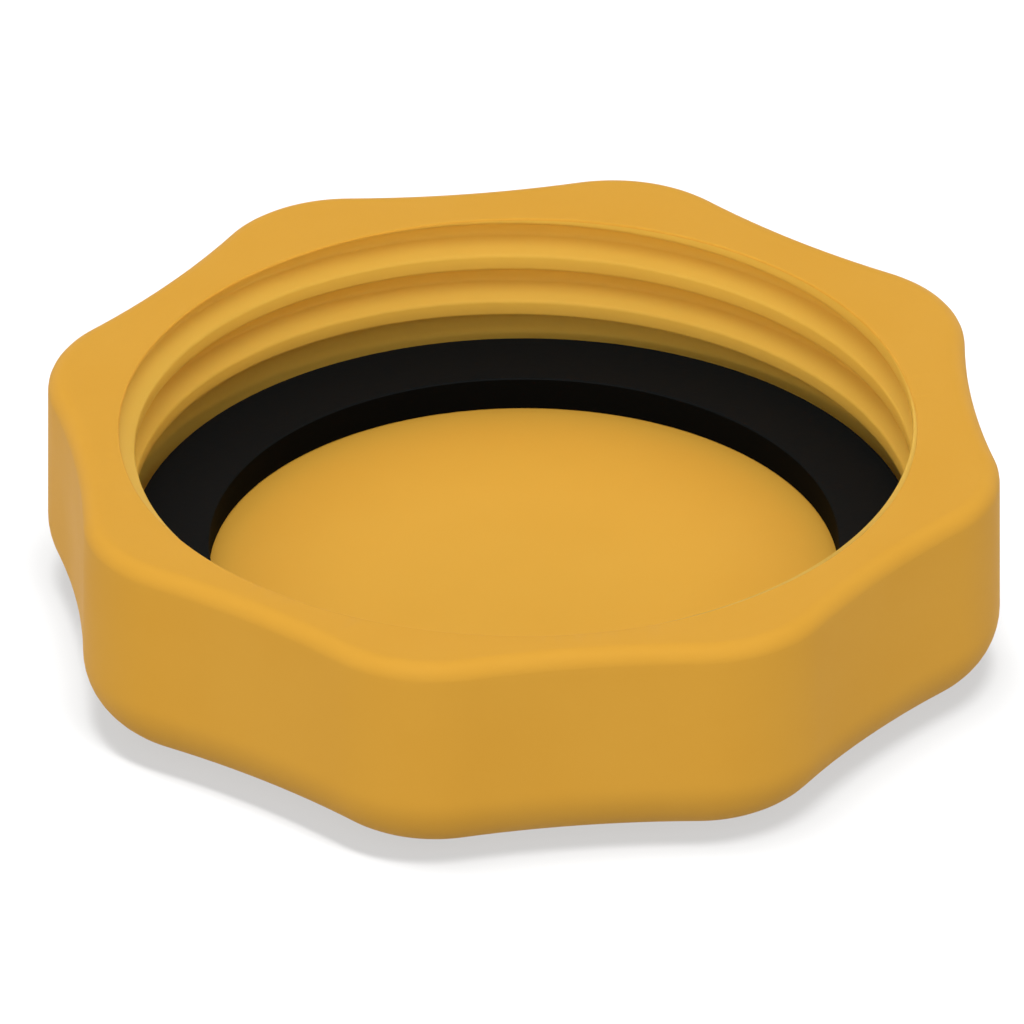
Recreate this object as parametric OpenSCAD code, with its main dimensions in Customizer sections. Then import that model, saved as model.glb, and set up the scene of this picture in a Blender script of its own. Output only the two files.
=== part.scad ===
// Brake fluid reservoir cap, lying with its open side up. It is a moulded screw
// cap with a lobed grip and an internal thread, and a flat rubber ring lies on
// its floor and seals on the end of the filler neck.
// The origin is at the centre of the closed face. +Z runs along the axis to the
// open mouth, and the middle of one lobe points along +X. Lengths are in mm.

/* [Thread] */
// Diameter at the root of the internal thread
thread_root_d = 46.4; // [42:0.1:56]
// Distance from one turn of the thread to the next
thread_pitch = 3; // [2.6:0.1:4]
// Height of the thread's ridge above its root
thread_depth = 1.25; // [1.1:0.05:1.4]
// Width of the flat crest of the ridge
thread_crest = 0.88; // [0.5:0.02:1.1]
// Slope of the ridge's two flanks, in degrees
flank_angle = 30; // [10:1:35]
// How far below the rim the middle of the ridge passes the +X side
thread_lead = 0.8; // [0:0.1:2.5]
// Turn in which the ridge rises out of the wall at its inner end, in degrees
runout_turn = 25; // [10:5:90]

/* [Grip] */
// Number of lobes around the grip
lobe_count = 8; // [7:1:12]
// How far the tip of a lobe stands out past the valleys beside it
lobe_h = 1.95; // [1.6:0.05:3]
// Radius of a lobe's rounded tip, seen from above
lobe_round = 8; // [5.5:0.5:11]
// Thickness of the wall between a valley and the root of the thread
side_wall = 2.35; // [1.6:0.05:5]

/* [Shell] */
// Height of the cap
cap_h = 13; // [10:0.5:30]
// Thickness of the closed end
floor_t = 3; // [1.5:0.1:5]
// Radius of the rounding around the closed face
base_round = 4; // [0.5:0.25:5]
// Radius of the rounding around the outside of the rim
rim_round = 1; // [0.2:0.1:1.5]

/* [Sealing ring] */
// Thickness of the ring
ring_t = 2; // [1:0.1:3]
// Width of the ring, from its hole to its edge
ring_w = 4.45; // [2:0.05:8]
// Gap all round between the edge of the ring and the wall
ring_edge_gap = 1; // [0.5:0.05:1.05]
// Height of the lowest turn of the thread over the edge of the ring
ring_top_gap = 0.3; // [0.1:0.05:1]

/* [Hidden] */
cap_colour = "#E3A842";
ring_colour = "#1B1B19";
$fn = 180;

// A cutter runs this far past the face that it cuts through
past = 1;

// Radii of the cavity's wall, of the thread's crest and of the ring
root_r = thread_root_d / 2;
crest_r = root_r - thread_depth;
ring_r = root_r - ring_edge_gap;
hole_r = ring_r - ring_w;

// The outline is one arc over each lobe and one in each valley. The two are
// tangent where the line between their centres crosses them.
half_step = 180 / lobe_count;
valley_r = root_r + side_wall;
tip_r = valley_r + lobe_h;
tip_centre = tip_r - lobe_round;
valley_round = (tip_centre ^ 2 + valley_r ^ 2 - lobe_round ^ 2
    - 2 * tip_centre * valley_r * cos(half_step))
    / (2 * (lobe_round + tip_centre * cos(half_step) - valley_r));
valley_centre = valley_r + valley_round;
tip_turn = atan2(valley_centre * sin(half_step), valley_centre * cos(half_step) - tip_centre);
valley_turn = tip_turn - half_step;

// Flat steps that stand for the arcs of the outline and of the two roundings
tip_steps = 8;
valley_steps = 6;
base_steps = 8;
rim_steps = 4;

// The thread's ridge is swept in short steps. Its inner face is cut true by the
// crest's bore, and its back is sunk in the wall.
sweep_step = 5;
crest_stock = 0.1;
back_sink = 0.3;
function ridge_half(r) = thread_crest / 2 + (r - crest_r) * tan(flank_angle);
function turn_at(z) = 360 * (z - cap_h + thread_lead) / thread_pitch;
function ridge_z(turn) = cap_h - thread_lead + thread_pitch * turn / 360;
stock_half = ridge_half(crest_r - crest_stock);
back_half = ridge_half(root_r + back_sink);
start_turn = turn_at(floor_t + ring_t + ring_top_gap + ridge_half(ring_r));
end_turn = turn_at(cap_h + past + back_half);
ridge_top = ridge_z(end_turn) + back_half;
stations = ceil((end_turn - start_turn) / sweep_step);

// Points on an arc, from one direction towards another but short of it
function arc(centre, r, from, to, steps) =
    [for (i = [0 : steps - 1]) let (a = from + (to - from) * i / steps)
        centre + r * [cos(a), sin(a)]];

function polar(r, a) = r * [cos(a), sin(a)];

// The outline of the grip, moved inwards by inset, at height z
function grip_ring(inset, z) =
    [for (i = [0 : lobe_count - 1])
        let (lobe = 2 * half_step * i, dip = lobe + half_step)
        for (p = concat(
            arc(polar(tip_centre, lobe), lobe_round - inset,
                lobe - tip_turn, lobe + tip_turn, tip_steps),
            arc(polar(valley_centre, dip), -valley_round - inset,
                dip + valley_turn, dip - valley_turn, valley_steps)))
        [p.x, p.y, z]];

// The grip without its cavity: the outline goes up over the base's rounding,
// the straight wall and the rim's rounding
module grip_blank() {
    rings = concat(
        [for (i = [0 : base_steps]) let (a = 90 * i / base_steps)
            grip_ring(base_round * (1 - sin(a)), base_round * (1 - cos(a)))],
        [for (i = [0 : rim_steps]) let (a = 90 * i / rim_steps)
            grip_ring(rim_round * (1 - cos(a)), cap_h - rim_round * (1 - sin(a)))]);
    n = len(rings[0]);
    top = (len(rings) - 1) * n;
    base_middle = len(rings) * n;
    rim_middle = base_middle + 1;
    points = concat([for (ring = rings) each ring], [[0, 0, 0], [0, 0, cap_h]]);
    sides = [for (j = [0 : n : top - n]) for (i = [0 : n - 1])
        let (a = j + i, b = j + (i + 1) % n)
        each [[a, a + n, b + n], [a, b + n, b]]];
    ends = [for (i = [0 : n - 1]) let (k = (i + 1) % n)
        each [[base_middle, i, k], [rim_middle, top + k, top + i]]];
    polyhedron(points, concat(sides, ends), convexity = 6);
}

// Four corners of the ridge's section at one station, from its lower inner one
// round to its lower outer one. At the first station all lie inside the wall.
function station(i) =
    let (turn = start_turn + (end_turn - start_turn) * i / stations,
         rise = min(1, (turn - start_turn) / runout_turn),
         r_out = root_r + back_sink,
         r_in = root_r + back_sink / 2
             - rise * (thread_depth + crest_stock + back_sink / 2))
    [for (c = [[r_in, -stock_half], [r_in, stock_half], [r_out, back_half], [r_out, -back_half]])
        [c[0] * cos(turn), c[0] * sin(turn), ridge_z(turn) + c[1]]];

module thread_ridge() {
    points = [for (i = [0 : stations]) each station(i)];
    sides = [for (i = [0 : stations - 1]) for (j = [0 : 3])
        let (a = 4 * i + j, b = 4 * i + (j + 1) % 4)
        each [[a, b + 4, b], [a, a + 4, b + 4]]];
    last = 4 * stations;
    polyhedron(points, concat([[0, 1, 2, 3]], sides,
        [[last + 3, last + 2, last + 1, last]]), convexity = 10);
}

// The cavity with the groove between the turns of the thread
module cavity() {
    difference() {
        translate([0, 0, floor_t]) cylinder(r = root_r, h = cap_h - floor_t + past);
        difference() {
            thread_ridge();
            cylinder(r = crest_r, h = ridge_top + past);
        }
    }
}

module cap() {
    color(cap_colour)
        difference() {
            grip_blank();
            cavity();
        }
}

// Flat washer of rubber, which lies loose under the lowest turn of the thread
module sealing_ring() {
    color(ring_colour)
        translate([0, 0, floor_t])
            difference() {
                cylinder(r = ring_r, h = ring_t);
                translate([0, 0, -past]) cylinder(r = hole_r, h = ring_t + 2 * past);
            }
}

cap();
sealing_ring();
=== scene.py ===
"""Brake fluid reservoir cap with its rubber sealing ring, lying open side up on a white table."""
import math

import bmesh
import bpy
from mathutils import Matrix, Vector


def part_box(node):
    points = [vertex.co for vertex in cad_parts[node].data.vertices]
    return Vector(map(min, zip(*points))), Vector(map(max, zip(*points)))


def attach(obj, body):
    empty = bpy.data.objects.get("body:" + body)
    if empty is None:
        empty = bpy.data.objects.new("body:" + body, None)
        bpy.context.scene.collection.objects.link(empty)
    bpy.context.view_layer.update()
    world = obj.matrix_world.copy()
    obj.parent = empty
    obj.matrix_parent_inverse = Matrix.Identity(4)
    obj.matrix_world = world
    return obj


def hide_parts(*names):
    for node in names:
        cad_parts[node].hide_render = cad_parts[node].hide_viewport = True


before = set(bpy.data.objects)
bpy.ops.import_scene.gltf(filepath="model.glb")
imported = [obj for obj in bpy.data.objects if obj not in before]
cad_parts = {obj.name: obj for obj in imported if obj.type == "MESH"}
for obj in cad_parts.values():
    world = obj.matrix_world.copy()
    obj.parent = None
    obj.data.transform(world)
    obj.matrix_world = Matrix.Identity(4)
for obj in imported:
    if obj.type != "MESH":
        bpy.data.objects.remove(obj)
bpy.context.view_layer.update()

# The cap is one moulding of ochre polypropylene, with eight lobes to grip it by.
# Its outline is one arc over each lobe and one in each valley, spun from a point,
# and the closed end and the rim are rounded, as the mould was.
mm = 0.001
cap_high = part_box("cap")[1]
cap_h = cap_high.z
lobes = 8
tip_r = cap_high.x
valley_r = 25.55 * mm
lobe_round = 8 * mm
base_round = 4 * mm
rim_round = 1 * mm
tip_steps = 24
valley_steps = 12
base_steps = 14
rim_steps = 6
# Points nearer to each other than this are one point
merge_gap = 0.001 * mm

# The two arcs touch on the line between their centres
half_step = math.pi / lobes
tip_centre = tip_r - lobe_round
valley_round = (
    tip_centre**2 + valley_r**2 - lobe_round**2 - 2 * tip_centre * valley_r * math.cos(half_step)
) / (2 * (lobe_round + tip_centre * math.cos(half_step) - valley_r))
valley_centre = valley_r + valley_round
tip_turn = math.atan2(
    valley_centre * math.sin(half_step), valley_centre * math.cos(half_step) - tip_centre
)
valley_turn = tip_turn - half_step


def start_from_a_point(name, place):
    """Starts a piece in edit mode as one point at a place."""
    bpy.ops.object.select_all(action="DESELECT")
    bpy.ops.mesh.primitive_plane_add(size=mm, location=place)
    piece = bpy.context.object
    piece.name = piece.data.name = name
    bpy.ops.object.transform_apply(location=True)
    bpy.ops.object.mode_set(mode="EDIT")
    bpy.ops.mesh.select_mode(type="VERT")
    bpy.ops.mesh.select_all(action="SELECT")
    bpy.ops.mesh.merge(type="CENTER")
    return piece


def choose(piece, kind, test):
    """In edit mode, selects the points, edges or faces that a test holds for, and no others."""
    bpy.ops.mesh.select_mode(type=kind)
    bpy.ops.mesh.select_all(action="DESELECT")
    mesh = bmesh.from_edit_mesh(piece.data)
    for part in {"VERT": mesh.verts, "EDGE": mesh.edges, "FACE": mesh.faces}[kind]:
        part.select = test(part)
    mesh.select_flush_mode()
    bmesh.update_edit_mesh(piece.data)


def lies_at(height):
    """A test for an edge whose two ends lie at a height."""
    return lambda edge: all(abs(v.co.z - height) < merge_gap for v in edge.verts)


cap = start_from_a_point(
    "screw_cap",
    (
        tip_centre + lobe_round * math.cos(tip_turn),
        -lobe_round * math.sin(tip_turn),
        0,
    ),
)
bpy.ops.mesh.spin(
    steps=tip_steps, angle=2 * tip_turn, center=(tip_centre, 0, 0), axis=(0, 0, -1)
)
bpy.ops.mesh.spin(
    steps=valley_steps,
    angle=2 * valley_turn,
    center=(valley_centre * math.cos(half_step), valley_centre * math.sin(half_step), 0),
    axis=(0, 0, 1),
)
bpy.ops.mesh.select_all(action="SELECT")
bpy.ops.mesh.spin(
    steps=lobes - 1, angle=2 * half_step * (lobes - 1), dupli=True, center=(0, 0, 0), axis=(0, 0, -1)
)
bpy.ops.mesh.select_all(action="SELECT")
bpy.ops.mesh.remove_doubles(threshold=merge_gap)
bpy.ops.mesh.edge_face_add()
bpy.ops.mesh.extrude_region_move(TRANSFORM_OT_translate={"value": (0, 0, cap_h)})
choose(cap, "EDGE", lies_at(0))
bpy.ops.mesh.bevel(offset=base_round, segments=base_steps, clamp_overlap=False)
choose(cap, "EDGE", lies_at(cap_h))
bpy.ops.mesh.bevel(offset=rim_round, segments=rim_steps, clamp_overlap=False)
choose(cap, "FACE", lambda face: face.calc_center_median().z > cap_h - merge_gap)
bpy.ops.mesh.delete(type="ONLY_FACE")
bpy.ops.object.mode_set(mode="OBJECT")

# The thread inside is right-hand, one start, 3 mm pitch. Its ridge was moulded
# round a threaded core that was then unscrewed. One turn's section is screwed up
# the wall, and the ridge rises out of the wall at its inner end.
floor_t = 3 * mm
root_r = 23.2 * mm
crest_r = 21.95 * mm
thread_pitch = 3 * mm
crest_width = 0.88 * mm
flank_slope = math.radians(30)
thread_lead = 0.8 * mm
edge_round = 0.12 * mm
edge_steps = 3
runout_turn = math.radians(25)
turn_steps = 240
turns = 6
foot_round = 0.3 * mm
foot_steps = 4
# The ridge starts at this height, where it stays 0.3 mm clear of the sealing ring
start_z = 5.884 * mm
# The ridge's middle passes the +X side at these heights, on its last turn and its first
ridge_z = cap_h - thread_lead
turn_start_z = ridge_z - (turns - 1) * thread_pitch
# The cuts at the rim and the foot leave slivers narrower than this
sliver_gap = 10 * merge_gap

depth = root_r - crest_r
flank_h = depth * math.tan(flank_slope)
foot_half = crest_width / 2 + flank_h


def draw_on(*steps):
    """Draws a line on from the selected point, one step after another."""
    for step in steps:
        bpy.ops.mesh.extrude_region_move(TRANSFORM_OT_translate={"value": step})


wall = start_from_a_point("wall", (root_r, 0, turn_start_z - thread_pitch / 2))
draw_on(
    (0, 0, thread_pitch / 2 - foot_half),
    (-depth, 0, flank_h),
    (0, 0, crest_width),
    (depth, 0, flank_h),
    (0, 0, thread_pitch / 2 - foot_half),
)
choose(wall, "VERT", lambda v: abs(abs(v.co.z - turn_start_z) - thread_pitch / 2) > merge_gap)
bpy.ops.mesh.bevel(offset=edge_round, segments=edge_steps, affect="VERTICES")
bpy.ops.object.mode_set(mode="OBJECT")

screw = wall.modifiers.new("turns", "SCREW")
screw.screw_offset = thread_pitch
screw.iterations = turns
screw.steps = screw.render_steps = turn_steps
bpy.ops.object.modifier_apply(modifier=screw.name)

# Each point belongs to the ridge whose middle passes nearest to it. How far that
# ridge has turned from its start says how much of its depth it has there.
for v in wall.data.vertices:
    angle = math.atan2(v.co.y, v.co.x)
    above = v.co.z - ridge_z - thread_pitch * angle / math.tau
    middle_z = v.co.z - (above - thread_pitch * round(above / thread_pitch))
    turned = (middle_z - start_z) / thread_pitch * math.tau
    share = min(1, max(0, turned / runout_turn))
    r = math.hypot(v.co.x, v.co.y)
    stretch = (root_r - share * (root_r - r)) / r
    v.co.x *= stretch
    v.co.y *= stretch

rim_line = cap_h - edge_round
foot_line = floor_t + foot_round
bpy.ops.object.mode_set(mode="EDIT")
bpy.ops.mesh.select_all(action="SELECT")
bpy.ops.mesh.remove_doubles(threshold=merge_gap)
bpy.ops.mesh.bisect(
    plane_co=(0, 0, rim_line), plane_no=(0, 0, 1), clear_outer=True, threshold=merge_gap
)
bpy.ops.mesh.select_all(action="SELECT")
bpy.ops.mesh.bisect(
    plane_co=(0, 0, foot_line), plane_no=(0, 0, 1), clear_inner=True, threshold=merge_gap
)
bpy.ops.mesh.select_all(action="SELECT")
bpy.ops.mesh.remove_doubles(threshold=sliver_gap)


def round_off(piece, height, radius, size, steps, up, outwards):
    """Levels the open edge near a height, and carries it on round a quarter circle."""
    choose(
        piece, "EDGE", lambda edge: edge.is_boundary and abs(edge.verts[0].co.z - height) < size
    )
    bpy.ops.transform.resize(value=(1, 1, 0), center_override=(0, 0, height))
    at_out = at_up = 0
    for i in range(1, steps + 1):
        a = math.pi / 2 * i / steps
        out = size * (1 - math.cos(a))
        rise = size * math.sin(a)
        bpy.ops.mesh.extrude_region_move(
            TRANSFORM_OT_translate={"value": (0, 0, up * (rise - at_up))}
        )
        scale = (radius + outwards * out) / (radius + outwards * at_out)
        bpy.ops.transform.resize(value=(scale, scale, 1), center_override=(0, 0, 0))
        at_out = out
        at_up = rise


# The rim is rounded outwards, and the foot of the wall inwards. The floor closes the foot.
round_off(wall, rim_line, root_r, edge_round, edge_steps, up=1, outwards=1)
round_off(wall, foot_line, root_r, foot_round, foot_steps, up=-1, outwards=-1)
bpy.ops.mesh.edge_face_add()
bpy.ops.object.mode_set(mode="OBJECT")

# The wall is joined to the grip, and the flat rim is filled in between them
bpy.ops.object.select_all(action="DESELECT")
wall.select_set(True)
cap.select_set(True)
bpy.context.view_layer.objects.active = cap
bpy.ops.object.join()
bpy.ops.object.mode_set(mode="EDIT")
choose(cap, "EDGE", lambda edge: edge.is_boundary)
bpy.ops.mesh.fill()
bpy.ops.mesh.select_all(action="SELECT")
bpy.ops.mesh.normals_make_consistent(inside=False)
bpy.ops.object.mode_set(mode="OBJECT")

# Edges that turn by more than this stay sharp
smooth_angle = math.radians(50)


def shade_by_broad_faces(piece):
    """Shades the active piece so that its faces look even and only its roundings bend the light."""
    bpy.ops.object.shade_smooth_by_angle(angle=smooth_angle)
    weights = piece.modifiers.new("broad_faces", "WEIGHTED_NORMAL")
    weights.keep_sharp = True
    bpy.ops.object.modifier_apply(modifier=weights.name)


shade_by_broad_faces(cap)


def linear(hex_colour):
    """An sRGB hex colour as linear red, green, blue and alpha."""
    parts = [int(hex_colour[i : i + 2], 16) / 255 for i in (1, 3, 5)]
    return [c / 12.92 if c <= 0.04045 else ((c + 0.055) / 1.055) ** 2.4 for c in parts] + [1]


def add(owner, kind, settings=(), **links):
    """Adds a node to a material or world, sets its properties or sockets, and links sockets."""
    node = owner.node_tree.nodes.new("ShaderNode" + kind)
    for name, value in dict(settings).items():
        if hasattr(node, name):
            setattr(node, name, value)
        else:
            node.inputs[name].default_value = value
    for name, source in links.items():
        owner.node_tree.links.new(source, node.inputs[name])
    return node


# Polypropylene coloured in the mass gives a satin look with a faint, wide shine. Its
# colour and shine vary a little over about 7 mm, where the melt flowed. Noise stands
# for that, and nearly all of it lies between the low and the high value.
flow_size = 7 * mm
flow_low = 0.3
flow_high = 0.7
shine_swing = 0.04
turning_depth = 0.0004 * mm
# A wave texture of scale 1 repeats after this many metres
wave_length = 0.314


def moulded_plastic(name, pale, deep, roughness, grain_size, grain_depth, ring_gap=None):
    """Ochre plastic between two shades, with a grain, and turning rings where they have a gap."""
    material = bpy.data.materials.new(name)
    material.use_nodes = True
    shader = material.node_tree.nodes["Principled BSDF"]
    shader.inputs["IOR"].default_value = 1.49
    shader.inputs["Specular IOR Level"].default_value = 0.06
    place = add(material, "TexCoord").outputs["Object"]
    flow = add(material, "TexNoise", {"Scale": 1 / flow_size, "Detail": 3.0}, Vector=place)
    shade = add(
        material,
        "MixRGB",
        {"Color1": linear(pale), "Color2": linear(deep)},
        Fac=flow.outputs["Fac"],
    )
    sheen = add(
        material,
        "MapRange",
        {
            "From Min": flow_low,
            "From Max": flow_high,
            "To Min": roughness - shine_swing,
            "To Max": roughness + shine_swing,
        },
        Value=flow.outputs["Fac"],
    )
    grain = add(
        material,
        "TexNoise",
        {"Scale": 1 / grain_size, "Detail": 2.0, "Roughness": 0.6},
        Vector=place,
    )
    bump = add(
        material, "Bump", {"Strength": 1.0, "Distance": grain_depth}, Height=grain.outputs["Fac"]
    )
    if ring_gap:
        rings = add(
            material,
            "TexWave",
            {
                "wave_type": "RINGS",
                "rings_direction": "Z",
                "Scale": wave_length / ring_gap,
                "Distortion": 0.4,
            },
            Vector=place,
        )
        bump = add(
            material,
            "Bump",
            {"Strength": 1.0, "Distance": turning_depth},
            Height=rings.outputs["Fac"],
            Normal=bump.outputs["Normal"],
        )
    material.node_tree.links.new(shade.outputs["Color"], shader.inputs["Base Color"])
    material.node_tree.links.new(sheen.outputs["Result"], shader.inputs["Roughness"])
    material.node_tree.links.new(bump.outputs["Normal"], shader.inputs["Normal"])
    return material


# The mould of the outside was spark-eroded, which leaves a fine grain
outside = moulded_plastic(
    "grained_polypropylene",
    pale="#E3A93F",
    deep="#DFA338",
    roughness=0.55,
    grain_size=0.3 * mm,
    grain_depth=0.004 * mm,
)
# The core that unscrewed from the inside was polished, so the thread is smoother.
# Its colour is painted paler than the outside, as painted light that offsets the shade inside the
# bore.
thread_wall = moulded_plastic(
    "polished_polypropylene_painted_paler",
    pale="#E9BD51",
    deep="#E5B74B",
    roughness=0.45,
    grain_size=0.9 * mm,
    grain_depth=0.002 * mm,
)
# The end of the core was turned, which leaves faint rings on the floor. The floor's
# colour is painted paler than the outside, as painted light that offsets the shade from the walls.
core_end = moulded_plastic(
    "turned_polypropylene_painted_paler",
    pale="#EEB648",
    deep="#EBB143",
    roughness=0.45,
    grain_size=0.9 * mm,
    grain_depth=0.002 * mm,
    ring_gap=0.45 * mm,
)
plastics = [outside, thread_wall, core_end]
for plastic in plastics:
    cap.data.materials.append(plastic)

# The core made all of the bore between the floor and the rounding at the rim. Its
# faces get the paler materials, whose paleness is painted light.
for face in cap.data.polygons:
    corners = [cap.data.vertices[i].co for i in face.vertices]
    in_bore = all(co.xy.length < root_r + merge_gap for co in corners)
    top = max(co.z for co in corners)
    bottom = min(co.z for co in corners)
    if in_bore and floor_t - merge_gap < bottom < rim_line - merge_gap:
        face.material_index = plastics.index(thread_wall if top > foot_line else core_end)
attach(cap, "root")
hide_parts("cap")

# The sealing ring is a flat ring cut from moulded black EPDM rubber sheet. It lies
# loose on the floor of the cap, and its edges are a little rounded.
ring_low, ring_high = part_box("sealing_ring")
ring_w = 4.45 * mm
ring_edge = 0.12 * mm
ring_edge_steps = 4
ring_steps = 240
bpy.ops.object.select_all(action="DESELECT")
bpy.ops.mesh.primitive_circle_add(
    vertices=ring_steps, radius=ring_high.x, fill_type="NGON", location=(0, 0, ring_low.z)
)
ring = bpy.context.object
ring.name = ring.data.name = "rubber_ring"
bpy.ops.object.transform_apply(location=True)
bpy.ops.object.mode_set(mode="EDIT")
bpy.ops.mesh.select_all(action="SELECT")
bpy.ops.mesh.inset(thickness=ring_w)
bpy.ops.mesh.delete(type="FACE")
bpy.ops.mesh.select_all(action="SELECT")
bpy.ops.mesh.extrude_region_move(
    TRANSFORM_OT_translate={"value": (0, 0, ring_high.z - ring_low.z)}
)
choose(ring, "EDGE", lambda edge: edge.calc_face_angle(0) > smooth_angle)
bpy.ops.mesh.bevel(offset=ring_edge, segments=ring_edge_steps)
bpy.ops.mesh.select_all(action="SELECT")
bpy.ops.mesh.normals_make_consistent(inside=False)
bpy.ops.object.mode_set(mode="OBJECT")
shade_by_broad_faces(ring)

# Rubber is black and almost without shine, and slightly uneven over about 0.5 mm. The
# cut walls are painted blacker and duller than the flat faces, as painted shade.
rubber_grain = 0.5 * mm
rubber_grain_depth = 0.01 * mm
for name, colour, shine in (("rubber_flat_faces", "#0D1113", 0.1), ("rubber_walls_painted_shade", "#0A0C0D", 0.02)):
    rubber = bpy.data.materials.new(name)
    rubber.use_nodes = True
    shader = rubber.node_tree.nodes["Principled BSDF"]
    shader.inputs["Base Color"].default_value = linear(colour)
    shader.inputs["Roughness"].default_value = 0.7
    shader.inputs["IOR"].default_value = 1.5
    shader.inputs["Specular IOR Level"].default_value = shine
    place = add(rubber, "TexCoord").outputs["Object"]
    grain = add(rubber, "TexNoise", {"Scale": 1 / rubber_grain, "Detail": 3.0}, Vector=place)
    bump = add(
        rubber,
        "Bump",
        {"Strength": 1.0, "Distance": rubber_grain_depth},
        Height=grain.outputs["Fac"],
    )
    rubber.node_tree.links.new(bump.outputs["Normal"], shader.inputs["Normal"])
    ring.data.materials.append(rubber)

# Faces that stand steeper than this are the cut walls, which get the painted shade
cut_slope = math.radians(60)
for face in ring.data.polygons:
    face.material_index = 1 if abs(face.normal.z) < math.cos(cut_slope) else 0
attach(ring, "root")
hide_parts("sealing_ring")

# The table is a plain white sheet just under the cap, lit through from below. It has
# lamps of its own above it, and it neither shades the cap nor throws light on it.
table_size = 4000 * mm
table_drop = 0.02 * mm
table_grey = 0.12
table_glow = 0.57
bpy.ops.object.select_all(action="DESELECT")
bpy.ops.mesh.primitive_plane_add(size=table_size, location=(0, 0, -table_drop))
table = bpy.context.object
table.name = "table"
table.visible_diffuse = table.visible_shadow = False
paper = bpy.data.materials.new("white_paper")
paper.use_nodes = True
shader = paper.node_tree.nodes["Principled BSDF"]
shader.inputs["Base Color"].default_value = (table_grey, table_grey, table_grey, 1)
shader.inputs["Roughness"].default_value = 1.0
shader.inputs["Specular IOR Level"].default_value = 0.0
shader.inputs["Emission Color"].default_value = (1, 1, 1, 1)
shader.inputs["Emission Strength"].default_value = table_glow
table.data.materials.append(paper)

# Soft studio light. A white band runs round the room from the table up to 15 degrees,
# and a dimmer one from 35 to 60 degrees, with dark between them. The ceiling and all
# below the table are dim. Each has the height where it starts and its brightness.
studio_light = 1.74
bands = ((-90, 0.18), (0, 1), (15, 0), (35, 0.71), (60, 0.2))
world = bpy.data.worlds.new("studio")
bpy.context.scene.world = world
world.use_nodes = True
background = world.node_tree.nodes["Background"]
background.inputs["Strength"].default_value = studio_light
way = add(world, "TexCoord").outputs["Generated"]
upwards = add(world, "SeparateXYZ", Vector=way).outputs["Z"]
height = add(world, "MapRange", {"From Min": -1.0, "From Max": 1.0}, Value=upwards)
walls = add(world, "ValToRGB", Fac=height.outputs["Result"])
walls.color_ramp.interpolation = "CONSTANT"
# A new ramp has two colours already
for _ in bands[2:]:
    walls.color_ramp.elements.new(0.5)
for element, (rise, bright) in zip(walls.color_ramp.elements, bands):
    element.position = (math.sin(math.radians(rise)) + 1) / 2
    element.color = (bright, bright, bright, 1)
world.node_tree.links.new(walls.outputs["Color"], background.inputs["Color"])

# Two wide lamps light the cap from the camera's side. The table is lit by a row of
# small ones, which make its shadow softer at the right and left than in front. Each
# has its turn from the camera, its height, how wide it looks and its brightness.
camera_turn = math.radians(14.9)
cap_lamps = [("low_front_lamp", -22, 20, 30, 0.13), ("high_front_lamp", 0, 65, 30, 0.24)]
table_lamps = [("table_lamp", 53, 90 + 5 * i, 11.5, 0.62) for i in range(-3, 4)]
for name, turn, rise, width, bright in cap_lamps + table_lamps:
    lamp = bpy.data.objects.new(name, bpy.data.lights.new(name, "SUN"))
    bpy.context.collection.objects.link(lamp)
    lamp.data.angle = math.radians(width)
    lamp.data.energy = bright * math.pi
    lamp.rotation_euler = (math.radians(90 - rise), 0, camera_turn + math.radians(turn))
    lit = bpy.data.collections.new("lit_by_" + name)
    for piece in (table,) if name == "table_lamp" else (cap, ring):
        lit.objects.link(piece)
    lamp.light_linking.receiver_collection = lit
bpy.context.scene.view_settings.view_transform = "Standard"

# The camera looks down on the cap from a little right of one lobe. The picture
# has no perspective, so it is an orthographic camera, and its frame is 57.8 mm wide.
camera_rise = math.radians(31.37)
camera_distance = 400 * mm
frame_width = 57.755 * mm
# How far the middle of the rim lies right of the picture's middle, and above it
rim_right = 0.672 * mm
rim_above = 5.118 * mm

camera = bpy.data.objects.new("camera", bpy.data.cameras.new("camera"))
bpy.context.collection.objects.link(camera)
camera.data.type = "ORTHO"
camera.data.ortho_scale = frame_width
camera.data.clip_start = 10 * mm
camera.data.clip_end = 5000 * mm
back = Vector((
    math.sin(camera_turn) * math.cos(camera_rise),
    -math.cos(camera_turn) * math.cos(camera_rise),
    math.sin(camera_rise),
))
camera.rotation_euler = back.to_track_quat("Z", "Y").to_euler()
camera_right = camera.rotation_euler.to_matrix() @ Vector((1, 0, 0))
camera_up = camera.rotation_euler.to_matrix() @ Vector((0, 1, 0))
aim = Vector((0, 0, cap_h)) - rim_right * camera_right - rim_above * camera_up
camera.location = aim + camera_distance * back
bpy.context.scene.camera = camera
